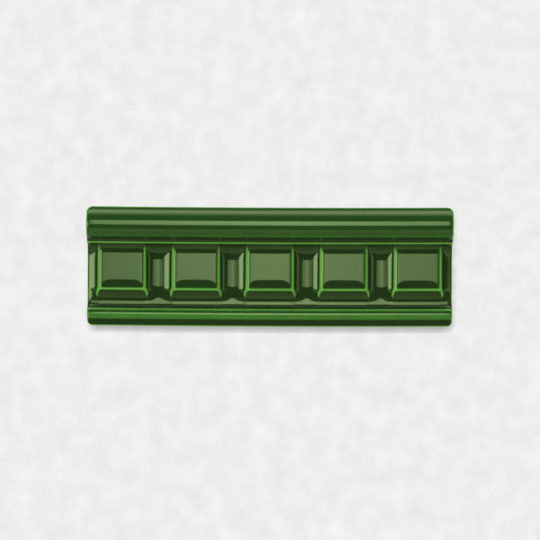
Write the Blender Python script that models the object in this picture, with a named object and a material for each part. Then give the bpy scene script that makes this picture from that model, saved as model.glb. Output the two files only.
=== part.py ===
"""Dentil moulding tile of glazed ceramic, to be bedded flat on a wall.

The tile is one pressed piece: a crown roll over a cove, a row of dentils on a recessed floor,
and a bead along the foot. +Z is up the wall, +X runs along the moulding, the front faces -Y,
and the origin is the centre of the back face. Lengths are in metres, angles in degrees.
"""
import math

import bmesh
import bpy

# The tile as a whole
LENGTH = 0.152
HEIGHT = 0.0497
TOP_CORNER_RADIUS = 0.0024
FOOT_CORNER_RADIUS = 0.0020

# Crown: a roll from the top edge over the crest to its lip. Projections count from the back face.
CREST_PROJECTION = 0.0195
CROWN_RADIUS = 0.0080
CREST_BELOW_TOP = 0.0074
CROWN_LIP_ANGLE = -36.0

# Cove under the crown, from the lip back to the arris over the dentils
ARRIS_PROJECTION = 0.0148
COVE_START_ANGLE = -80.0
COVE_END_ANGLE = -21.0

# Recessed floor between the dentils, under a hollow soffit
FLOOR_PROJECTION = 0.0098
SOFFIT_ANGLE = -66.0
FLOOR_END_ABOVE_FOOT = 0.0165

# Dentils, which run on at the same pitch across the joint to the next tile
DENTIL_COUNT = 5
JOINT_WIDTH = 0.0020
DENTIL_WIDTH = 0.0195
DENTIL_RISE = 0.0027
DENTIL_FOOT_ABOVE_FOOT = 0.0154
DENTIL_SLOPE_ANGLE = -42.0
DENTIL_HEAD_ANGLE = -60.0
DENTIL_HEAD_BELOW_ARRIS = 0.0002
FLANK_DRAFT = 28.0
FLANK_FILLET = 0.0040
FLANK_FOOT_ANGLE = 12.0

# Valley under the dentils, its ramp, and the bead along the foot
VALLEY_PROJECTION = 0.0094
RAMP_RADIUS = 0.0039
BEAD_PROJECTION = 0.0134
BEAD_RADIUS = 0.0037
BEAD_CREST_ABOVE_FOOT = 0.0050
BEAD_START_ANGLE = 50.0
BEAD_END_ANGLE = -38.0
FOOT_PROJECTION = 0.0088

# Shallow keys along the back, which hold the adhesive
KEY_PAIRS = 3
KEY_WIDTH = 0.0030
KEY_DEPTH = 0.0010
KEY_PITCH = 0.0070

# How finely the curves are divided, and how far a cutting shape passes the face that it cuts
ARC_STEP = 4.0
OVERLAP = 0.0015

GLAZE_GREEN = (0.035, 0.115, 0.020, 1.0)
GLAZE_ROUGHNESS = 0.08

TOP = HEIGHT / 2
FOOT = -HEIGHT / 2
DENTIL_PITCH = (LENGTH + JOINT_WIDTH) / DENTIL_COUNT
DENTIL_PROJECTION = FLOOR_PROJECTION + DENTIL_RISE


def facing(angle):
    """Unit direction, as (forward, up), of a face that looks up by an angle in degrees."""
    return math.cos(math.radians(angle)), math.sin(math.radians(angle))


def arc(start, radius, first_angle, last_angle):
    """Points of an arc from start, by the angles its face looks up; a hollow has radius < 0."""
    steps = max(2, math.ceil(abs(last_angle - first_angle) / ARC_STEP))
    first_forward, first_up = facing(first_angle)
    centre = (start[0] - radius * first_forward, start[1] - radius * first_up)
    points = []
    for step in range(steps + 1):
        forward, up = facing(first_angle + (last_angle - first_angle) * step / steps)
        points.append((centre[0] + radius * forward, centre[1] + radius * up))
    return points


def hollow_radius(drop, first_angle, last_angle):
    """Radius of the hollow that moves back by drop while its face turns between two angles."""
    return drop / (facing(last_angle)[0] - facing(first_angle)[0])


def crown_and_cove():
    """Section of the crown from the top edge, over the crest and down the cove to the arris."""
    top_angle = math.degrees(math.asin(min(1.0, CREST_BELOW_TOP / CROWN_RADIUS)))
    centre = CREST_PROJECTION - CROWN_RADIUS
    start = (centre + CROWN_RADIUS * facing(top_angle)[0], TOP)
    roll = arc(start, CROWN_RADIUS, top_angle, CROWN_LIP_ANGLE)
    lip = roll[-1]
    cove_radius = hollow_radius(lip[0] - ARRIS_PROJECTION, COVE_START_ANGLE, COVE_END_ANGLE)
    return roll + arc(lip, -cove_radius, COVE_START_ANGLE, COVE_END_ANGLE)[1:]


def soffit(arris):
    """Hollow from the arris over the dentils down to the floor between them."""
    radius = hollow_radius(ARRIS_PROJECTION - FLOOR_PROJECTION, SOFFIT_ANGLE, 0.0)
    return arc(arris, -radius, SOFFIT_ANGLE, 0.0)


def bead():
    """Round along the foot, from the head of the ramp to the slope that ends at the foot."""
    forward, up = facing(BEAD_START_ANGLE)
    start = (BEAD_PROJECTION - BEAD_RADIUS * (1 - forward),
             FOOT + BEAD_CREST_ABOVE_FOOT + BEAD_RADIUS * up)
    return arc(start, BEAD_RADIUS, BEAD_START_ANGLE, BEAD_END_ANGLE)


def ramp(bead_start):
    """Hollow from the bottom of the valley up to the start of the bead."""
    rise = bead_start[0] - VALLEY_PROJECTION
    end_angle = math.degrees(math.acos(max(0.0, 1 - rise / RAMP_RADIUS)))
    run = RAMP_RADIUS * facing(end_angle)[1]
    valley = (VALLEY_PROJECTION, bead_start[1] + run)
    return arc(valley, -RAMP_RADIUS, 0.0, end_angle)


def moulding_section():
    """Section through a gap between two dentils, as (projection, height) pairs."""
    cornice = crown_and_cove()
    foot_bead = bead()
    outline = [(0.0, TOP)] + cornice + soffit(cornice[-1])[1:]
    outline += [(FLOOR_PROJECTION, FOOT + FLOOR_END_ABOVE_FOOT)]
    outline += ramp(foot_bead[0])[:-1] + foot_bead
    return outline + [(FOOT_PROJECTION, FOOT), (0.0, FOOT)]


def soffit_height(projection):
    """Height of the soffit where it stands at a projection."""
    arris = crown_and_cove()[-1]
    radius = hollow_radius(ARRIS_PROJECTION - FLOOR_PROJECTION, SOFFIT_ANGLE, 0.0)
    angle = math.acos(1 - (projection - FLOOR_PROJECTION) / radius)
    return arris[1] + radius * (facing(SOFFIT_ANGLE)[1] + math.sin(angle))


def dentil_section():
    """Section of the dentil band from its hollow head under the soffit to its sloping foot."""
    root = FLOOR_PROJECTION - OVERLAP
    head_projection = ARRIS_PROJECTION - DENTIL_HEAD_BELOW_ARRIS
    head = (head_projection, soffit_height(head_projection))
    radius = hollow_radius(head_projection - DENTIL_PROJECTION, DENTIL_HEAD_ANGLE, 0.0)
    forward, up = facing(DENTIL_SLOPE_ANGLE)
    foot = FOOT + DENTIL_FOOT_ABOVE_FOOT
    slope_end = foot + (DENTIL_PROJECTION - root) * forward / up
    outline = [(root, head[1])] + arc(head, -radius, DENTIL_HEAD_ANGLE, 0.0)
    return outline + [(DENTIL_PROJECTION, foot), (root, slope_end)]


def flank(side):
    """One flank of a dentil in plan, as (sideways, forward) pairs from the front to the root."""
    arris = DENTIL_WIDTH / 2
    slant = math.tan(math.radians(FLANK_DRAFT))
    flank_angle = 90.0 - FLANK_DRAFT
    fillet_rise = FLANK_FILLET * (facing(FLANK_FOOT_ANGLE)[0] - facing(flank_angle)[0])
    fillet_start = min(FLOOR_PROJECTION + fillet_rise, DENTIL_PROJECTION)
    front = DENTIL_PROJECTION + OVERLAP
    start = (fillet_start, arris + (DENTIL_PROJECTION - fillet_start) * slant)
    fillet = arc(start, -FLANK_FILLET, flank_angle, FLANK_FOOT_ANGLE)
    foot = fillet[-1]
    root = FLOOR_PROJECTION - OVERLAP
    root_run = (foot[0] - root) * facing(90.0 - FLANK_FOOT_ANGLE)[0] / facing(FLANK_FOOT_ANGLE)[0]
    profile = [(front, arris - OVERLAP * slant)] + fillet + [(root, foot[1] + root_run)]
    return [(side * sideways, projection) for projection, sideways in profile]


def dentil_plan(centre):
    """Outline of one dentil seen from above, about its centre along the moulding."""
    outline = flank(-1) + flank(1)[::-1]
    return [(centre + sideways, -projection) for sideways, projection in outline]


def rounded_front():
    """Front outline of the tile, with its four rounded corners."""
    outline = []
    half = LENGTH / 2
    corners = [(half, TOP, TOP_CORNER_RADIUS, 0.0), (-half, TOP, TOP_CORNER_RADIUS, 90.0),
               (-half, FOOT, FOOT_CORNER_RADIUS, 180.0), (half, FOOT, FOOT_CORNER_RADIUS, 270.0)]
    for across, height, radius, first_angle in corners:
        centre = (across - math.copysign(radius, across), height - math.copysign(radius, height))
        forward, up = facing(first_angle)
        start = (centre[0] + radius * forward, centre[1] + radius * up)
        outline += arc(start, radius, first_angle, first_angle + 90.0)
    return outline


def glaze_material():
    """Dark green glaze with a glassy surface."""
    material = bpy.data.materials.new("green_glaze")
    material.use_nodes = True
    shader = material.node_tree.nodes["Principled BSDF"]
    shader.inputs["Base Color"].default_value = GLAZE_GREEN
    shader.inputs["Roughness"].default_value = GLAZE_ROUGHNESS
    shader.inputs["Metallic"].default_value = 0.0
    return material


def extruded(name, outlines, length, rotation, location, collection):
    """Mesh object made of flat outlines extruded to a length about a location."""
    curve = bpy.data.curves.new(name, "CURVE")
    curve.dimensions = "2D"
    curve.fill_mode = "BOTH"
    curve.extrude = length / 2
    for outline in outlines:
        spline = curve.splines.new("POLY")
        spline.points.add(len(outline) - 1)
        for point, (across, along) in zip(spline.points, outline):
            point.co = (across, along, 0.0, 1.0)
        spline.use_cyclic_u = True
    sketch = bpy.data.objects.new(name + "_outline", curve)
    sketch.rotation_euler = rotation
    sketch.location = location
    collection.objects.link(sketch)
    bpy.context.view_layer.update()
    evaluated = sketch.evaluated_get(bpy.context.evaluated_depsgraph_get())
    mesh = bpy.data.meshes.new_from_object(evaluated)
    mesh.name = name
    solid = bpy.data.objects.new(name, mesh)
    solid.matrix_world = sketch.matrix_world
    collection.objects.link(solid)
    bpy.data.objects.remove(sketch)
    bpy.data.curves.remove(curve)
    weld = bmesh.new()
    weld.from_mesh(mesh)
    bmesh.ops.remove_doubles(weld, verts=weld.verts, dist=0.000001)
    bmesh.ops.recalc_face_normals(weld, faces=weld.faces)
    weld.to_mesh(mesh)
    weld.free()
    return solid


def guide(solid):
    """Shows a solid as a wire guide that isn't part of the tile."""
    solid.hide_render = True
    solid.display_type = "WIRE"
    return solid


def boolean(target, operation, tool):
    """Adds an exact Boolean modifier to target."""
    modifier = target.modifiers.new(operation.lower() + "_" + tool.name, "BOOLEAN")
    modifier.operation = operation
    modifier.solver = "EXACT"
    modifier.object = tool


for stale in list(bpy.data.objects):
    bpy.data.objects.remove(stale)

tile_collection = bpy.data.collections.new("dentil_moulding")
cutter_collection = bpy.data.collections.new("cutters")
bpy.context.scene.collection.children.link(tile_collection)
bpy.context.scene.collection.children.link(cutter_collection)

# Turns a (projection, height) section so that it is extruded along the moulding
ALONG_MOULDING = (math.pi / 2, 0.0, -math.pi / 2)
# Turns an (across, height) outline so that it is extruded from back to front
BACK_TO_FRONT = (math.pi / 2, 0.0, 0.0)
UPRIGHT = (0.0, 0.0, 0.0)
ORIGIN = (0.0, 0.0, 0.0)

tile = extruded("dentil_moulding", [moulding_section()], LENGTH, ALONG_MOULDING, ORIGIN,
                tile_collection)

# The dentils are the band's section where it meets their plan, so their corners mitre
dentils = guide(extruded("dentil_band", [dentil_section()], LENGTH, ALONG_MOULDING, ORIGIN,
                         cutter_collection))
centres = [(index - (DENTIL_COUNT - 1) / 2) * DENTIL_PITCH for index in range(DENTIL_COUNT)]
plans = guide(extruded("dentil_plans", [dentil_plan(centre) for centre in centres],
                       HEIGHT, UPRIGHT, ORIGIN, cutter_collection))
boolean(dentils, "INTERSECT", plans)
boolean(tile, "UNION", dentils)

# Rounded corners in the front view
front_depth = 2 * (CREST_PROJECTION + OVERLAP)
front = guide(extruded("front_outline", [rounded_front()], front_depth, BACK_TO_FRONT, ORIGIN,
                       cutter_collection))
boolean(tile, "INTERSECT", front)

# Keys in pairs about the middle land, cut from end to end
key_outlines = []
for pair in range(KEY_PAIRS):
    for side in (-1, 1):
        middle = side * (pair + 0.5) * KEY_PITCH
        low, high = middle - KEY_WIDTH / 2, middle + KEY_WIDTH / 2
        key_outlines.append([(-OVERLAP, low), (KEY_DEPTH, low), (KEY_DEPTH, high), (-OVERLAP, high)])
keys = guide(extruded("back_keys", key_outlines, LENGTH + 2 * OVERLAP, ALONG_MOULDING, ORIGIN,
                      cutter_collection))
boolean(tile, "DIFFERENCE", keys)

tile.data.materials.clear()
tile.data.materials.append(glaze_material())
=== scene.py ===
"""Looks of the dentil moulding tile: clay pressing, green glaze, and the wall and light around it.

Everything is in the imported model's frame: +Z up the wall, +X along the moulding, the front facing
-Y, and the origin at the centre of the back face. Lengths are in metres, angles in degrees.
"""
import math

import bpy
import numpy as np
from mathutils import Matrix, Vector


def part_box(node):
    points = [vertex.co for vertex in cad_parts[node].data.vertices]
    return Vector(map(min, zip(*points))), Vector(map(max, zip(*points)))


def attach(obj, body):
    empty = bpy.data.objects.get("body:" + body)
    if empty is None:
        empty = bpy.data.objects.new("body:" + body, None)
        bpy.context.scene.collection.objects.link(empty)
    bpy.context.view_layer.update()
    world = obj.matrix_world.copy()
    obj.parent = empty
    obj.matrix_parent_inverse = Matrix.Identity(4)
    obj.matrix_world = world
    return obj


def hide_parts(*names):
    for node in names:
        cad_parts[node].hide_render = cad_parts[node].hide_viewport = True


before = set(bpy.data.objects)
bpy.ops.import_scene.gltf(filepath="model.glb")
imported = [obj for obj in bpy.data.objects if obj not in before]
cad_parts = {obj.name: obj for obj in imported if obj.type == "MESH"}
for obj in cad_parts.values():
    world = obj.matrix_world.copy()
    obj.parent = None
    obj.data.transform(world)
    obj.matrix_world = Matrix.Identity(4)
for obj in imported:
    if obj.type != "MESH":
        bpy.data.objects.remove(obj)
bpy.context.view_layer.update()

# Pressed clay tile
# One pressing of clay: a crown roll and its cove, five dentils on a recessed floor, a valley and a
# foot bead. It is bedded on the wall by its flat, keyed back.
tile_low, tile_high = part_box("dentil_moulding")
LENGTH = tile_high[0] - tile_low[0]
TOP = tile_high[2]
FOOT = tile_low[2]
CREST_PROJECTION = -tile_low[1]
TOP_CORNER_RADIUS = 0.0024
FOOT_CORNER_RADIUS = 0.0020

CROWN_RADIUS = 0.0080
CREST_BELOW_TOP = 0.0074
CROWN_LIP_ANGLE = -33.0
LIP_RADIUS = 0.0028
ARRIS_PROJECTION = 0.0147
COVE_START_ANGLE = -80.0
COVE_END_ANGLE = -1.0

FLOOR_PROJECTION = 0.0098
SOFFIT_ANGLE = -82.0
SOFFIT_EASE_ANGLE = -13.0
SOFFIT_EASE_RADIUS = 0.0110
FLOOR_END_ABOVE_FOOT = 0.0160
FLOOR_LEAN = 0.25

DENTIL_COUNT = 5
JOINT_WIDTH = 0.0020
DENTIL_PITCH = (LENGTH + JOINT_WIDTH) / DENTIL_COUNT
DENTIL_WIDTH = 0.0198
DENTIL_PROJECTION = FLOOR_PROJECTION + 0.0027
DENTIL_FOOT_ABOVE_FOOT = 0.01545
DENTIL_SLOPE_ANGLE = -46.0
FOOT_ARRIS_RADIUS = 0.0016
DENTIL_HOLLOW_RADIUS = 0.0071
DENTIL_HEAD_ANGLE = -67.0
DENTIL_HEAD_EASE_ANGLE = -13.0
DENTIL_HEAD_EASE_RADIUS = 0.0081
DENTIL_HEAD_BELOW_ARRIS = 0.0002
FACE_MIDDLE = 0.0

FLANK_ANGLE = 62.0
FACE_TWIST = 0.004
GAP_HOLLOW_RADIUS = 0.0105

VALLEY_PROJECTION = 0.0098
VALLEY_RADIUS = 0.0130
VALLEY_END_ANGLE = 13.0
RISER_ANGLE = 74.0
RISER_FOOT_RADIUS = 0.0015
RISER_HEAD_RADIUS = 0.0020
BEAD_PROJECTION = 0.0134
BEAD_TOP_RADIUS = 0.0061
BEAD_TOP_ANGLE = 13.0
BEAD_UPPER_RADIUS = 0.0024
BEAD_CREST_RADIUS = 0.0026
BEAD_LOWER_RADIUS = 0.0027
BEAD_CREST_ABOVE_FOOT = 0.00505
BEAD_START_ANGLE = 25.0
BEAD_CREST_END_ANGLE = -13.0
BEAD_END_ANGLE = -62.0
FOOT_HOLLOW_RADIUS = 0.0025
FOOT_ANGLE = -45.0
FOOT_PROJECTION = 0.0088

KEY_PAIRS = 3
KEY_WIDTH = 0.0030
KEY_DEPTH = 0.0010
KEY_PITCH = 0.0070
KEY_WALL = 0.0003

ARC_POINTS = 40
HEAD_JOIN = 0.0001
SLOPE_JOIN = 0.0006
SWELL_REACH = 0.0056
SWELL_RISE = 0.0003
RELIEF_STEP = 0.0001


def facing(angle):
    """Unit directions, as (forward, up), of faces that look up by an angle in degrees."""
    turned = np.radians(angle)
    return np.stack([np.cos(turned), np.sin(turned)], axis=-1)


def arc(start, radius, first_angle, last_angle):
    """Points of an arc from start, by the angles its face looks up; a hollow has radius < 0."""
    centre = np.array(start) - radius * facing(first_angle)
    return centre + radius * facing(np.linspace(first_angle, last_angle, ARC_POINTS))


def swept(start, first_angle, *bends):
    """Points of a chain of arcs from start, each bend given by its radius and its last angle."""
    points = [np.array([start])]
    for radius, last_angle in bends:
        points.append(arc(points[-1][-1], radius, first_angle, last_angle)[1:])
        first_angle = last_angle
    return np.vstack(points)


def hollow_radius(drop, first_angle, last_angle):
    """Radius of the hollow that moves back by drop while its face turns between two angles."""
    return drop / (facing(last_angle)[0] - facing(first_angle)[0])


def eased_hollow(start, drop, first_angle, ease_angle, ease_radius):
    """Hollow that moves back by drop to a level face, its last bend of a larger radius."""
    ease_drop = ease_radius * (1 - facing(ease_angle)[0])
    radius = hollow_radius(drop - ease_drop, first_angle, ease_angle)
    return swept(start, first_angle, (-radius, ease_angle), (-ease_radius, 0.0))


def crown_and_cove():
    """Section of the crown from the top edge over its crest, and down the cove to the arris."""
    top_angle = math.degrees(math.asin(CREST_BELOW_TOP / CROWN_RADIUS))
    crest_centre = CREST_PROJECTION - CROWN_RADIUS
    top_edge = (crest_centre + CROWN_RADIUS * facing(top_angle)[0], TOP)
    crown = swept(top_edge, top_angle, (CROWN_RADIUS, CROWN_LIP_ANGLE), (LIP_RADIUS, COVE_START_ANGLE))
    radius = hollow_radius(crown[-1][0] - ARRIS_PROJECTION, COVE_START_ANGLE, COVE_END_ANGLE)
    return np.vstack([crown, arc(crown[-1], -radius, COVE_START_ANGLE, COVE_END_ANGLE)[1:]])


def soffit():
    """Section of the hollow under the arris, back to the floor between the dentils."""
    return eased_hollow(crown_and_cove()[-1], ARRIS_PROJECTION - FLOOR_PROJECTION, SOFFIT_ANGLE,
                        SOFFIT_EASE_ANGLE, SOFFIT_EASE_RADIUS)


def valley_and_bead():
    """Section from the bottom of the valley up its riser, over the bead and down to the foot."""
    crest = (BEAD_PROJECTION, FOOT + BEAD_CREST_ABOVE_FOOT)
    up_from_crest = swept(crest, 0.0, (BEAD_UPPER_RADIUS, BEAD_TOP_ANGLE),
                          (BEAD_TOP_RADIUS, BEAD_START_ANGLE), (RISER_HEAD_RADIUS, RISER_ANGLE))
    riser_foot = swept((0.0, 0.0), VALLEY_END_ANGLE, (-RISER_FOOT_RADIUS, RISER_ANGLE))
    valley = swept((0.0, 0.0), 0.0, (-VALLEY_RADIUS, VALLEY_END_ANGLE))
    hollow = np.vstack([valley, valley[-1] + riser_foot[1:]])
    riser_rise = up_from_crest[-1][0] - VALLEY_PROJECTION - hollow[-1][0]
    riser_run = riser_rise / math.tan(math.radians(RISER_ANGLE))
    hollow_end = up_from_crest[-1] + np.array([-riser_rise, riser_run])
    hollow += hollow_end - hollow[-1]
    bead = swept(crest, 0.0, (BEAD_CREST_RADIUS, BEAD_CREST_END_ANGLE),
                 (BEAD_LOWER_RADIUS, BEAD_END_ANGLE), (-FOOT_HOLLOW_RADIUS, FOOT_ANGLE))
    return np.vstack([hollow, up_from_crest[::-1], bead[1:], [[FOOT_PROJECTION, FOOT]]])


def gap_section():
    """Section from the top edge to the foot through a gap, as (projection, height) rows."""
    floor_start = soffit()[-1]
    floor_end_height = FOOT + FLOOR_END_ABOVE_FOOT
    lean = (floor_start[1] - floor_end_height) * math.tan(math.radians(FLOOR_LEAN))
    floor_end = [[FLOOR_PROJECTION + lean, floor_end_height]]
    return np.vstack([crown_and_cove(), soffit()[1:], floor_end, valley_and_bead()])


def dentil_section():
    """Section of a dentil from its hollow head to the hollow under its foot."""
    head_projection = ARRIS_PROJECTION - DENTIL_HEAD_BELOW_ARRIS
    under_arris = soffit()[::-1]
    head_height = np.interp(head_projection, under_arris[:, 0], under_arris[:, 1])
    head = eased_hollow((head_projection, head_height), head_projection - DENTIL_PROJECTION,
                        DENTIL_HEAD_ANGLE, DENTIL_HEAD_EASE_ANGLE, DENTIL_HEAD_EASE_RADIUS)
    round_over = FOOT_ARRIS_RADIUS * math.tan(math.radians(-DENTIL_SLOPE_ANGLE / 2))
    arris_start = (DENTIL_PROJECTION, FOOT + DENTIL_FOOT_ABOVE_FOOT + round_over)
    arris = arc(arris_start, FOOT_ARRIS_RADIUS, 0.0, DENTIL_SLOPE_ANGLE)
    hollow = arc(arris[-1], -DENTIL_HOLLOW_RADIUS, DENTIL_SLOPE_ANGLE, -DENTIL_SLOPE_ANGLE)
    return np.vstack([head, arris, hollow[1:]])


def soft_rise(values, start, end):
    """0 at start to 1 at end, with no corner at either."""
    part = np.clip((values - start) / (end - start), 0.0, 1.0)
    return part * part * (3 - 2 * part)


def smooth_least(first, second, reach):
    """Lesser of two fields, the crease between them rounded where they differ by under reach."""
    overlap = np.clip(1 - np.abs(first - second) / reach, 0.0, 1.0)
    return np.minimum(first, second) - reach / 4 * overlap ** 2


def relief(across, heights, flank_join):
    """Projection from the back face over a grid of places, its flank arrises rounded by a join."""
    gap = gap_section()[::-1]
    floor = np.interp(heights, gap[:, 1], gap[:, 0])
    dentil = dentil_section()[::-1]
    band = np.interp(heights, dentil[:, 1], dentil[:, 0], left=0.0, right=0.0) - floor
    join = np.where(heights > FOOT + DENTIL_FOOT_ABOVE_FOOT, HEAD_JOIN, SLOPE_JOIN)

    from_centre = np.abs(across - DENTIL_PITCH * np.round(across / DENTIL_PITCH))
    dentil_rise = DENTIL_PROJECTION - FLOOR_PROJECTION
    past_arris = from_centre - DENTIL_WIDTH / 2
    flank_start = np.where(heights > FACE_MIDDLE, band, dentil_rise)
    flank = flank_start[:, None] - past_arris[None, :] * math.tan(math.radians(FLANK_ANGLE))
    out_to_flank = (2 * from_centre / DENTIL_WIDTH)[None, :]
    twist = FACE_TWIST * (heights - FACE_MIDDLE)[:, None] * out_to_flank ** 6
    from_gap = np.maximum(DENTIL_PITCH / 2 - from_centre, 0.0)
    into_hollow = np.minimum(from_gap, DENTIL_WIDTH / 4)
    hollow = GAP_HOLLOW_RADIUS - np.sqrt(GAP_HOLLOW_RADIUS ** 2 - into_hollow ** 2)

    block = smooth_least(band[:, None] - twist, flank, flank_join)
    under = hollow[None, :] * np.clip(band / dentil_rise, 0.0, 1.0)[:, None] ** 2
    raised = -smooth_least(-block, -under, join[:, None])
    out_of_gap = soft_rise(from_gap, 0.0, SWELL_REACH)[None, :]
    swell = np.clip(band, 0.0, SWELL_RISE)[:, None] * out_of_gap
    return floor[:, None] + np.maximum(raised, swell)


def blurred(field, width):
    """Field of the relief grid after a Gaussian blur, its slope carried on past the edges."""
    reach = math.ceil(3 * width / RELIEF_STEP)
    offsets = np.arange(2 * reach + 1)
    weights = np.exp(-0.5 * ((offsets - reach) * RELIEF_STEP / width) ** 2)
    weights /= weights.sum()
    for axis in (0, 1):
        margins = [(0, 0), (0, 0)]
        margins[axis] = (reach, reach)
        wide = np.pad(field, margins, mode="reflect", reflect_type="odd")
        size = field.shape[axis]
        field = sum(weight * wide.take(range(offset, offset + size), axis)
                    for offset, weight in zip(offsets, weights))
    return field


# Glaze coat
# A translucent green over the front and sides. It runs off the arrises, which break bright green,
# pools in the hollows, and ends in a soft rolled edge just short of the back.
ARRIS_SOFTNESS = 0.00028
POOL_WIDTH = 0.00038
SURFACE_SKIN = 0.00012
THINNING_REACH = 0.00027
# Faces that look further down than these lose their thinning and stay darker: painted shade
DOWN_SHADE_START = 0.64
DOWN_SHADE_END = 1.05
CLAY_FLANK_JOIN = 0.0014
GLAZE_FLANK_JOIN = 0.0034
END_ROLL = 0.0032
END_ROLL_ANGLE = 14.0
EDGE_ROLL = 0.0007
EDGE_ROLL_ANGLE = 72.0
EDGE_THINNING = 0.7
FOOT_THINNING = 1.3
GLAZE_END_PROJECTION = 0.0016
GLAZE_END_WANDER = 0.0005
GLAZE_THICKNESS = 0.00022

relief_across = np.arange(-LENGTH / 2, LENGTH / 2 + RELIEF_STEP / 2, RELIEF_STEP)
relief_heights = np.arange(FOOT, TOP + RELIEF_STEP / 2, RELIEF_STEP)
clay = relief(relief_across, relief_heights, CLAY_FLANK_JOIN)
coat = relief(relief_across, relief_heights, GLAZE_FLANK_JOIN)
glaze = blurred(np.maximum(blurred(coat, ARRIS_SOFTNESS), blurred(coat, POOL_WIDTH)), SURFACE_SKIN)

# The glaze thins by how sharply the clay under it turns outwards. On faces that look steeply down
# the thinning is cut back, which keeps them darker: painted shade, as less light falls there.
slope_up, slope_across = np.gradient(clay, RELIEF_STEP)
slant = np.sqrt(1 + slope_up ** 2 + slope_across ** 2)
turning = np.gradient(slope_up / slant, RELIEF_STEP, axis=0) \
    + np.gradient(slope_across / slant, RELIEF_STEP, axis=1)
down_facing = blurred(slope_up / slant, THINNING_REACH)
thinning_with_down_shade = -blurred(turning, THINNING_REACH) / 1000
thinning_with_down_shade *= np.clip((DOWN_SHADE_END - down_facing) / (DOWN_SHADE_END - DOWN_SHADE_START), 0.0, 1.0)


def sampled(field, across, heights):
    """Values of a relief field at places between its grid points."""
    columns = np.clip((across - relief_across[0]) / RELIEF_STEP, 0, len(relief_across) - 1.001)
    rows = np.clip((heights - relief_heights[0]) / RELIEF_STEP, 0, len(relief_heights) - 1.001)
    column, row = columns.astype(int), rows.astype(int)
    right, up = columns - column, rows - row
    lower = field[row, column] * (1 - right) + field[row, column + 1] * right
    upper = field[row + 1, column] * (1 - right) + field[row + 1, column + 1] * right
    return lower * (1 - up) + upper * up


def spaced(places, projections, count, turn_cost):
    """Places along a section, close together where it turns and further apart where it is flat."""
    step = places[1] - places[0]
    slope = np.arctan(np.gradient(projections, step, axis=0))
    length = step / np.cos(slope)
    turn = np.abs(np.gradient(slope, axis=0))
    effort = (length + turn_cost * turn).mean(axis=1) + 0.25 * step
    total = np.concatenate([[0.0], np.cumsum((effort[1:] + effort[:-1]) / 2)])
    return np.interp(np.linspace(0.0, total[-1], count), total, places)


# Rows and columns of the glazed front, closest where the sections turn. The first and last lie on
# the outline.
ROW_COUNT = 196
COLUMN_COUNT = 366
TURN_COST = 0.0012
EDGE_FRACTIONS = np.array([0.08, 0.2, 0.35, 0.55, 0.78, 1.0])
DEPTHS_ACROSS_DENTILS = (0.018, 0.026, 0.036)

middle_columns = [np.abs(relief_across - place).argmin()
                  for place in (0.0, DENTIL_WIDTH / 2, DENTIL_PITCH / 2)]
middle_rows = [np.abs(relief_heights - (TOP - depth)).argmin() for depth in DEPTHS_ACROSS_DENTILS]
rows = spaced(relief_heights, glaze[:, middle_columns], ROW_COUNT, TURN_COST)
columns = spaced(relief_across, glaze[middle_rows].T, COLUMN_COUNT, TURN_COST)
rows = np.unique(np.concatenate([rows, FOOT + EDGE_ROLL * EDGE_FRACTIONS,
                                 TOP - EDGE_ROLL * EDGE_FRACTIONS]))
columns = np.unique(np.concatenate([columns, -LENGTH / 2 + EDGE_ROLL * EDGE_FRACTIONS,
                                    LENGTH / 2 - EDGE_ROLL * EDGE_FRACTIONS]))

# The back's own levels join the rows, so that the keys end on the outline
key_levels = []
for pair in range(-KEY_PAIRS, KEY_PAIRS):
    middle = (pair + 0.5) * KEY_PITCH
    for side in (-1, 1):
        key_levels.append((middle + side * KEY_WIDTH / 2, 0.0))
        key_levels.append((middle + side * (KEY_WIDTH / 2 - KEY_WALL), KEY_DEPTH))
key_levels.sort()
level_heights = np.array([height for height, depth in key_levels])
level_depths = np.array([depth for height, depth in key_levels])
rows = np.unique(np.concatenate([rows, level_heights]))

across_grid, height_grid = np.meshgrid(columns, rows)
corner_radius = np.where(height_grid > 0, TOP_CORNER_RADIUS, FOOT_CORNER_RADIUS)
into_side = np.abs(across_grid) - (LENGTH / 2 - corner_radius)
into_end = np.abs(height_grid) - (TOP - corner_radius)
in_corner = (into_side > 0) & (into_end > 0)
pull = np.ones_like(across_grid)
pull[in_corner] = (np.maximum(into_side, into_end) / np.hypot(into_side, into_end))[in_corner]
across_grid = np.sign(across_grid) * (LENGTH / 2 - corner_radius + into_side * pull) * in_corner \
    + across_grid * ~in_corner
height_grid = np.sign(height_grid) * (TOP - corner_radius + into_end * pull) * in_corner \
    + height_grid * ~in_corner

outside_x = np.maximum(np.abs(across_grid) - (LENGTH / 2 - corner_radius), 0.0)
outside_z = np.maximum(np.abs(height_grid) - (TOP - corner_radius), 0.0)
inside = np.minimum(LENGTH / 2 - np.abs(across_grid), TOP - np.abs(height_grid))
both = (outside_x > 0) & (outside_z > 0)
from_edge = np.where(both, corner_radius - np.hypot(outside_x, outside_z), inside)
from_edge = np.maximum(from_edge, 0.0)

roll_sweep = math.sin(math.radians(EDGE_ROLL_ANGLE))
roll_part = np.clip(1 - from_edge / EDGE_ROLL, 0.0, 1.0) * roll_sweep
edge_fall = EDGE_ROLL / roll_sweep * (1 - np.sqrt(1 - roll_part ** 2))

# Both ends turn down a little
end_radius = END_ROLL / math.sin(math.radians(END_ROLL_ANGLE))
near_end = np.clip(np.abs(across_grid) - (LENGTH / 2 - END_ROLL), 0.0, END_ROLL)
end_fall = end_radius - np.sqrt(end_radius ** 2 - near_end ** 2)
front_projection = sampled(glaze, across_grid, height_grid) - edge_fall - end_fall
front_thinning_with_down_shade = sampled(thinning_with_down_shade, across_grid, height_grid)
at_edge = np.clip(1 - from_edge / EDGE_ROLL, 0.0, 1.0)
front_thinning_with_down_shade += np.where(height_grid > FOOT + EDGE_ROLL, EDGE_THINNING, FOOT_THINNING) * at_edge

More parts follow.
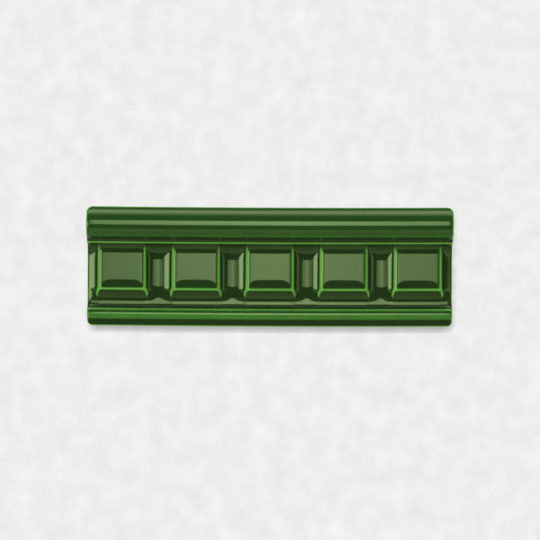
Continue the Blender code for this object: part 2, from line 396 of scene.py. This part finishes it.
row_count, column_count = across_grid.shape
front = np.stack([across_grid, -front_projection, height_grid], axis=-1).reshape(-1, 3)
grid_index = np.arange(row_count * column_count).reshape(row_count, column_count)
outline = np.concatenate([grid_index[0, :-1], grid_index[:-1, -1],
                          grid_index[-1, :0:-1], grid_index[:0:-1, 0]])
outline_count = len(outline)
rim = front[outline]
inward = -np.sign(rim[:, [0, 2]]) * (np.abs(rim[:, [0, 2]])
                                     > np.array([LENGTH / 2, TOP]) - FOOT_CORNER_RADIUS)

# Side walls: rings from the glaze's rolled edge back to the wall face. The glaze ends in a wavy
# line, and the clay past it is bare.
WANDER_WAVES = ((1, 0.4), (2, 2.1), (5, 4.0))
WANDER_LENGTH = 0.0071
WANDER_PEAK = 1.7
GLAZE_LIP = 0.0003
GLAZE_LIP_FALL = 0.00005
CLAY_SHOULDER = 0.0004
CLAY_CHAMFER = 0.0001
ON_END = 0.00001
way_round = np.cumsum(np.hypot(*np.diff(rim[:, [0, 2]], axis=0, append=rim[:1, [0, 2]]).T))
wander = sum(np.sin(way_round / WANDER_LENGTH * wave + phase) / wave for wave, phase in WANDER_WAVES)
glaze_end = GLAZE_END_PROJECTION + GLAZE_END_WANDER * wander / WANDER_PEAK
back_depth = np.interp(rim[:, 2], level_heights, level_depths, left=0.0, right=0.0)
back_depth = np.where(np.abs(rim[:, 0]) > LENGTH / 2 - ON_END, back_depth, 0.0)


def ring(projection, inset):
    """One ring of the side walls, at a projection and set in from the outline."""
    points = rim.copy()
    points[:, 1] = -projection
    points[:, [0, 2]] += inward * inset
    return points


rim_projection = -rim[:, 1]
rings = [
    ring(rim_projection * 0.7 + glaze_end * 0.3, 0.0),
    ring(rim_projection * 0.3 + glaze_end * 0.7, 0.0),
    ring(glaze_end + GLAZE_LIP, 0.0),
    ring(glaze_end, 0.4 * GLAZE_THICKNESS),
    ring(glaze_end - GLAZE_LIP_FALL, GLAZE_THICKNESS),
    ring(np.maximum(glaze_end - CLAY_SHOULDER, back_depth + CLAY_CHAMFER), GLAZE_THICKNESS),
    ring(back_depth, GLAZE_THICKNESS + CLAY_CHAMFER),
]
GLAZED_RINGS = 4

# A bow, as from the kiln: the ends stand above the middle
KILN_BOW = 0.0003
vertices = np.vstack([front] + rings)
vertices[:, 2] += KILN_BOW * ((2 * vertices[:, 0] / LENGTH) ** 2 - 0.5)
faces = []
materials = []
for row in range(row_count - 1):
    for column in range(column_count - 1):
        faces.append((grid_index[row, column], grid_index[row, column + 1],
                      grid_index[row + 1, column + 1], grid_index[row + 1, column]))
materials += [0] * len(faces)
layers = [outline] + [len(front) + number * outline_count + np.arange(outline_count)
                      for number in range(len(rings))]
for number, (outer, inner) in enumerate(zip(layers, layers[1:])):
    for here in range(outline_count):
        after = (here + 1) % outline_count
        faces.append((outer[here], inner[here], inner[after], outer[after]))
    materials += [0 if number < GLAZED_RINGS else 1] * outline_count
smooth_count = len(faces)

# Back face: one flat strip between each two levels of the keys, from end to end
right_side = layers[-1][column_count - 1:column_count + row_count - 1]
left_side = np.concatenate([layers[-1][2 * column_count + row_count - 3:], layers[-1][:1]])[::-1]
foot_side = layers[-1][:column_count]
top_side = layers[-1][column_count + row_count - 2:2 * column_count + row_count - 2]
level_rows = [int(np.abs(rows - height).argmin()) for height in level_heights]
stops = [0] + level_rows + [row_count - 1]
for low, high in zip(stops, stops[1:]):
    left = list(left_side[low:high + 1])
    right = list(right_side[low:high + 1])
    lower = list(foot_side[1:-1]) if low == 0 else []
    upper = list(top_side[1:-1]) if high == row_count - 1 else []
    faces.append(left + upper[::-1] + right[::-1] + lower[::-1])
    materials.append(1)

mesh = bpy.data.meshes.new("glazed_tile")
mesh.from_pydata(vertices.tolist(), [], [[int(corner) for corner in face] for face in faces])
mesh.polygons.foreach_set("use_smooth", [number < smooth_count for number in range(len(faces))])
mesh.polygons.foreach_set("material_index", materials)
thin_and_shade_values = np.zeros(len(vertices))
thin_and_shade_values[:len(front)] = front_thinning_with_down_shade.ravel()
for layer in layers[1:]:
    thin_and_shade_values[layer] = 0.0
thin_and_shade_attribute = mesh.attributes.new("glaze_thinning", "FLOAT", "POINT")
thin_and_shade_attribute.data.foreach_set("value", thin_and_shade_values)
mesh.validate()
mesh.update()
tile = bpy.data.objects.new("glazed_tile", mesh)
bpy.context.scene.collection.objects.link(tile)


class Signal:
    """A node's output that takes part in Python arithmetic, which adds Math nodes to its tree."""

    def __init__(self, tree, socket=None):
        self.tree = tree
        self.socket = socket

    def node(self, kind, settings=None, sockets=None, output=0):
        """Adds a node of a kind: its settings first, then the values or links of its sockets."""
        made = self.tree.nodes.new(kind)
        for name, value in (settings or {}).items():
            if name == "stops":
                ramp = made.color_ramp.elements
                while len(ramp) < len(value):
                    ramp.new(0.5)
                for stop, (place, colour) in zip(ramp, value):
                    stop.position = place
                    stop.color = (*colour, 1.0)
            else:
                setattr(made, name, value)
        for name, value in (sockets or {}).items():
            if isinstance(value, Signal):
                self.tree.links.new(value.socket, made.inputs[name])
            else:
                made.inputs[name].default_value = value
        return Signal(self.tree, made.outputs[output] if made.outputs else None)

    def beside(self, output):
        """Another output of the node that this signal comes from."""
        return Signal(self.tree, self.socket.node.outputs[output])

    def math(self, operation, first, second):
        return self.node("ShaderNodeMath", {"operation": operation}, {0: first, 1: second})

    def __add__(self, other):
        return self.math("ADD", self, other)

    __radd__ = __add__

    def __sub__(self, other):
        return self.math("SUBTRACT", self, other)

    def __rsub__(self, other):
        return self.math("SUBTRACT", other, self)

    def __mul__(self, other):
        return self.math("MULTIPLY", self, other)

    __rmul__ = __mul__

    def eased(self, start, end):
        """0 at start to 1 at end of this signal's range, with a soft rise."""
        return self.node("ShaderNodeMapRange", {"interpolation_type": "SMOOTHSTEP"},
                         {"Value": self, "From Min": start, "From Max": end})


def node_material(name):
    """Empty node material, and the signal that its nodes are added through."""
    material = bpy.data.materials.new(name)
    material.use_nodes = True
    material.node_tree.nodes.clear()
    return material, Signal(material.node_tree)


# Linear glaze colours by how thin it runs, from pooled in a hollow to broken on an arris; faces that
# look steeply down are held at the darker colours as painted shade
POOLED = (0.0140, 0.0320, 0.0090)
LEVEL = (0.0150, 0.0370, 0.0090)
ON_CROWN = (0.0165, 0.0560, 0.0110)
ON_BEAD = (0.0220, 0.0900, 0.0140)
THIN = (0.0450, 0.1700, 0.0240)
BROKEN = (0.1300, 0.3900, 0.0600)
THINNING_LOW = -0.30
THINNING_HIGH = 0.70


def thinning_stop(thinning_value, colour):
    """Ramp stop of a colour at a value of how far the glaze thins: outward curvature, in radians per
    millimetre.
    """
    return ((thinning_value - THINNING_LOW) / (THINNING_HIGH - THINNING_LOW), colour)


glaze_material, make = node_material("green_glaze")
place = make.node("ShaderNodeTexCoord", output=3)
# This attribute holds the glaze's thinning, with painted shade taken off it on faces that look down
thin_and_down_shade = make.node("ShaderNodeAttribute", {"attribute_name": "glaze_thinning"}, output=2)
mottle = make.node("ShaderNodeTexNoise", {}, {"Vector": place, "Scale": 420.0, "Detail": 3.0})
drift = make.node("ShaderNodeTexNoise", {}, {"Vector": place, "Scale": 60.0, "Detail": 2.0})
thin_and_down_shade = thin_and_down_shade + (mottle - 0.5) * 0.06 + (drift - 0.5) * 0.10
colour = make.node("ShaderNodeValToRGB", {"stops": [
    thinning_stop(-0.30, POOLED), thinning_stop(0.00, LEVEL), thinning_stop(0.125, ON_CROWN),
    thinning_stop(0.27, ON_BEAD), thinning_stop(0.40, THIN), thinning_stop(0.60, BROKEN)]},
    {"Fac": (thin_and_down_shade - THINNING_LOW) * (1 / (THINNING_HIGH - THINNING_LOW))})
glaze_shader = make.node("ShaderNodeBsdfPrincipled", {}, {
    "Base Color": colour, "Roughness": 0.01, "IOR": 1.5, "Specular Tint": (0.69, 1.0, 0.42, 1.0)})
make.node("ShaderNodeOutputMaterial", {}, {"Surface": glaze_shader})

# Bare clay of the back and of the sides' last one to two millimetres
CLAY_CREAM = (0.62, 0.50, 0.36)
CLAY_SHADE = (0.50, 0.38, 0.26)
clay_material, make = node_material("bare_clay")
place = make.node("ShaderNodeTexCoord", output=3)
grain = make.node("ShaderNodeTexNoise", {}, {"Vector": place, "Scale": 900.0, "Detail": 4.0})
tone = make.node("ShaderNodeTexNoise", {}, {"Vector": place, "Scale": 45.0, "Detail": 3.0})
clay_colour = make.node("ShaderNodeValToRGB", {"stops": [(0.3, CLAY_SHADE), (0.7, CLAY_CREAM)]},
                        {"Fac": tone * 0.6 + grain * 0.4})
clay_normal = make.node("ShaderNodeBump", {}, {"Height": grain, "Distance": 0.0002, "Strength": 0.5})
clay_shader = make.node("ShaderNodeBsdfPrincipled", {}, {
    "Base Color": clay_colour, "Roughness": 0.85, "Normal": clay_normal})
make.node("ShaderNodeOutputMaterial", {}, {"Surface": clay_shader})

mesh.materials.append(glaze_material)
mesh.materials.append(clay_material)
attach(tile, "root")
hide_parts("dentil_moulding")

# Wall behind the tile
# A plain pale plastered wall that the tile is bedded on. It glows evenly instead of taking the lamps'
# light, and the contact shadow round the tile is painted into that glow. It is open where the tile
# covers it, and clear from behind, so that the tile's back can be seen.
WALL_REACH = 1.6
WALL_GAP = 0.0002
WALL_COVER = 0.003
WALL_WHITE = (0.860, 0.855, 0.850)
CONTACT_SHADOW = 0.0035
LIGHT_LEAN = Vector((-0.45, -0.12, 1.0)).normalized()

wall_points = []
for half_width, half_height in ((LENGTH / 2 - WALL_COVER, TOP - WALL_COVER), (WALL_REACH, WALL_REACH)):
    for side, end in ((-1, -1), (1, -1), (1, 1), (-1, 1)):
        wall_points.append((side * half_width, WALL_GAP, end * half_height))
wall_faces = [(4 + edge, 4 + (edge + 1) % 4, (edge + 1) % 4, edge) for edge in range(4)]
wall_mesh = bpy.data.meshes.new("wall")
wall_mesh.from_pydata(wall_points, [], wall_faces)
wall = bpy.data.objects.new("wall", wall_mesh)
bpy.context.scene.collection.objects.link(wall)
wall.visible_glossy = False
wall_material, make = node_material("wall_plaster")
behind = make.node("ShaderNodeNewGeometry", output=6)
lean = make.node("ShaderNodeCombineXYZ", {}, {0: LIGHT_LEAN.x, 1: LIGHT_LEAN.y, 2: LIGHT_LEAN.z})
# Painted shadow: ambient occlusion within a few millimetres of the tile darkens the wall's glow,
# leaning as if the light came from the upper left.
painted_contact_shadow = make.node("ShaderNodeAmbientOcclusion", {"samples": 16}, {
    "Distance": CONTACT_SHADOW, "Normal": lean}, output=1)
place = make.node("ShaderNodeTexCoord", output=3)
trowelled = make.node("ShaderNodeTexNoise", {}, {"Vector": place, "Scale": 120.0, "Detail": 9.0})
plaster = make.node("ShaderNodeEmission", {}, {
    "Color": (*WALL_WHITE, 1.0), "Strength": painted_contact_shadow * (0.86 + 0.28 * trowelled)})
clear = make.node("ShaderNodeBsdfTransparent")
make.node("ShaderNodeOutputMaterial", {}, {"Surface": make.node(
    "ShaderNodeMixShader", {}, {0: behind, 1: plaster, 2: clear})})
wall_mesh.materials.append(wall_material)


# Light
# Soft boxes round the camera, each a patch of a sphere about the tile. A patch is placed by its
# angles sideways and upwards from straight in front, which its UV map also holds, in degrees.
BOX_DISTANCE = 1.2
BOX_STEPS = 24


def soft_box(name, sideways, upwards, shine, colour):
    """Glowing patch between two angles each way; shine turns its two angles into a strength."""
    points, corners, angles = [], [], []
    for up in np.linspace(*upwards, BOX_STEPS + 1):
        for side in np.linspace(*sideways, BOX_STEPS + 1):
            side_turn, up_turn = math.radians(side), math.radians(up)
            points.append((BOX_DISTANCE * math.sin(side_turn),
                           -BOX_DISTANCE * math.cos(side_turn) * math.cos(up_turn),
                           BOX_DISTANCE * math.cos(side_turn) * math.sin(up_turn)))
            angles.append((side, up))
    for row in range(BOX_STEPS):
        for column in range(BOX_STEPS):
            first = row * (BOX_STEPS + 1) + column
            corners.append((first, first + BOX_STEPS + 1, first + BOX_STEPS + 2, first + 1))
    box_mesh = bpy.data.meshes.new(name)
    box_mesh.from_pydata(points, [], corners)
    angle_map = box_mesh.uv_layers.new(name="angles")
    for loop in box_mesh.loops:
        angle_map.data[loop.index].uv = angles[loop.vertex_index]
    box = bpy.data.objects.new(name, box_mesh)
    bpy.context.scene.collection.objects.link(box)
    box.visible_camera = False
    box.visible_shadow = False
    material, make = node_material(name)
    angles_here = make.node("ShaderNodeUVMap", {"uv_map": "angles"})
    across = make.node("ShaderNodeSeparateXYZ", {}, {0: angles_here})
    upward = across.beside(1)
    glow = make.node("ShaderNodeEmission", {}, {
        "Color": (*colour, 1.0), "Strength": shine(across, upward)})
    make.node("ShaderNodeOutputMaterial", {}, {"Surface": glow})
    box_mesh.materials.append(material)
    return box


# In front and just above: its lower edge ends the light on the faces, the crown and the bead
soft_box("front_box", (-25, 26), (-0.50, 25.5),
         lambda side, up: 5.6 * (0.4 + 0.6 * side.eased(-15, 2)) * (0.6 + 0.4 * side.eased(12, -2))
         * side.eased(-25, -22) * side.eased(26, 16) * (0.77 + 0.32 * up.eased(-1, 8)),
         (1.0, 1.0, 1.0))
# Overhead: the soft line along the top of the crown
soft_box("overhead_box", (-45, 45), (50, 118),
         lambda side, up: 5.0 * up.eased(50, 94) * up.eased(113, 74)
         * side.eased(-45, -20) * side.eased(45, 20), (1.0, 0.98, 0.88))
# Left: the upright lights in the hollows beside the dentils
soft_box("left_box", (-60, -23), (-28, 28),
         lambda side, up: 7.8 * ((side + 41) * (side + 41) * (1 / 17 ** 2)
                                 + up * up * (1 / 22 ** 2)).eased(1.0, 0.1), (1.0, 1.0, 1.0))
# Right: the faint warm line at the other side of each gap
soft_box("right_glow", (34, 50), (-24, 24),
         lambda side, up: 1.6 * side.eased(34, 40) * side.eased(50, 45), (1.0, 0.92, 0.8))
# Below, and on past the wall, in place of the light that the floor and the wall throw back
soft_box("floor_glow", (-60, 60), (-165, -25.6),
         lambda side, up: 0.1 + 0.45 * up.eased(-97, -84)
         + 0.4 * up.eased(-60, -30) + 0.6 * up.eased(-110, -120), (1.0, 1.0, 0.75))

world = bpy.data.worlds.new("studio")
bpy.context.scene.world = world
world.use_nodes = True
world.node_tree.nodes.clear()
make = Signal(world.node_tree)
direction_here = make.node("ShaderNodeTexCoord", output=0)
direction = make.node("ShaderNodeSeparateXYZ", {}, {0: direction_here}, output=1)
seen = make.node("ShaderNodeLightPath", output=0)
mirrored = make.node("ShaderNodeLightPath", output=3)
room = (0.25 + 0.75 * direction.eased(-0.05, 0.05)) * (1 - seen) * (1 - 0.9 * mirrored)
glow = make.node("ShaderNodeBackground", {}, {"Strength": room + 0.86 * seen})
make.node("ShaderNodeOutputWorld", {}, {"Surface": glow})

# Camera
# About a metre in front of the tile and level with it, turned by a hair as the photograph is.
PICTURE_WIDTH = 540
SENSOR_WIDTH = 36.0
CAMERA_DISTANCE = 0.96
PIXELS_PER_METRE = 2397.0
TILE_CENTRE_PIXEL = (269.8, 267.06)
CAMERA_ROLL = 0.24

camera_data = bpy.data.cameras.new("camera")
camera_data.sensor_width = SENSOR_WIDTH
camera_data.lens = SENSOR_WIDTH * CAMERA_DISTANCE * PIXELS_PER_METRE / PICTURE_WIDTH
camera_data.clip_start = 0.05
camera = bpy.data.objects.new("camera", camera_data)
bpy.context.scene.collection.objects.link(camera)
camera.location = ((PICTURE_WIDTH / 2 - TILE_CENTRE_PIXEL[0]) / PIXELS_PER_METRE,
                   -FLOOR_PROJECTION - CAMERA_DISTANCE,
                   (TILE_CENTRE_PIXEL[1] - PICTURE_WIDTH / 2) / PIXELS_PER_METRE)
camera.rotation_euler = (math.radians(90), math.radians(-CAMERA_ROLL), 0.0)
bpy.context.scene.camera = camera
bpy.context.scene.view_settings.view_transform = "Standard"
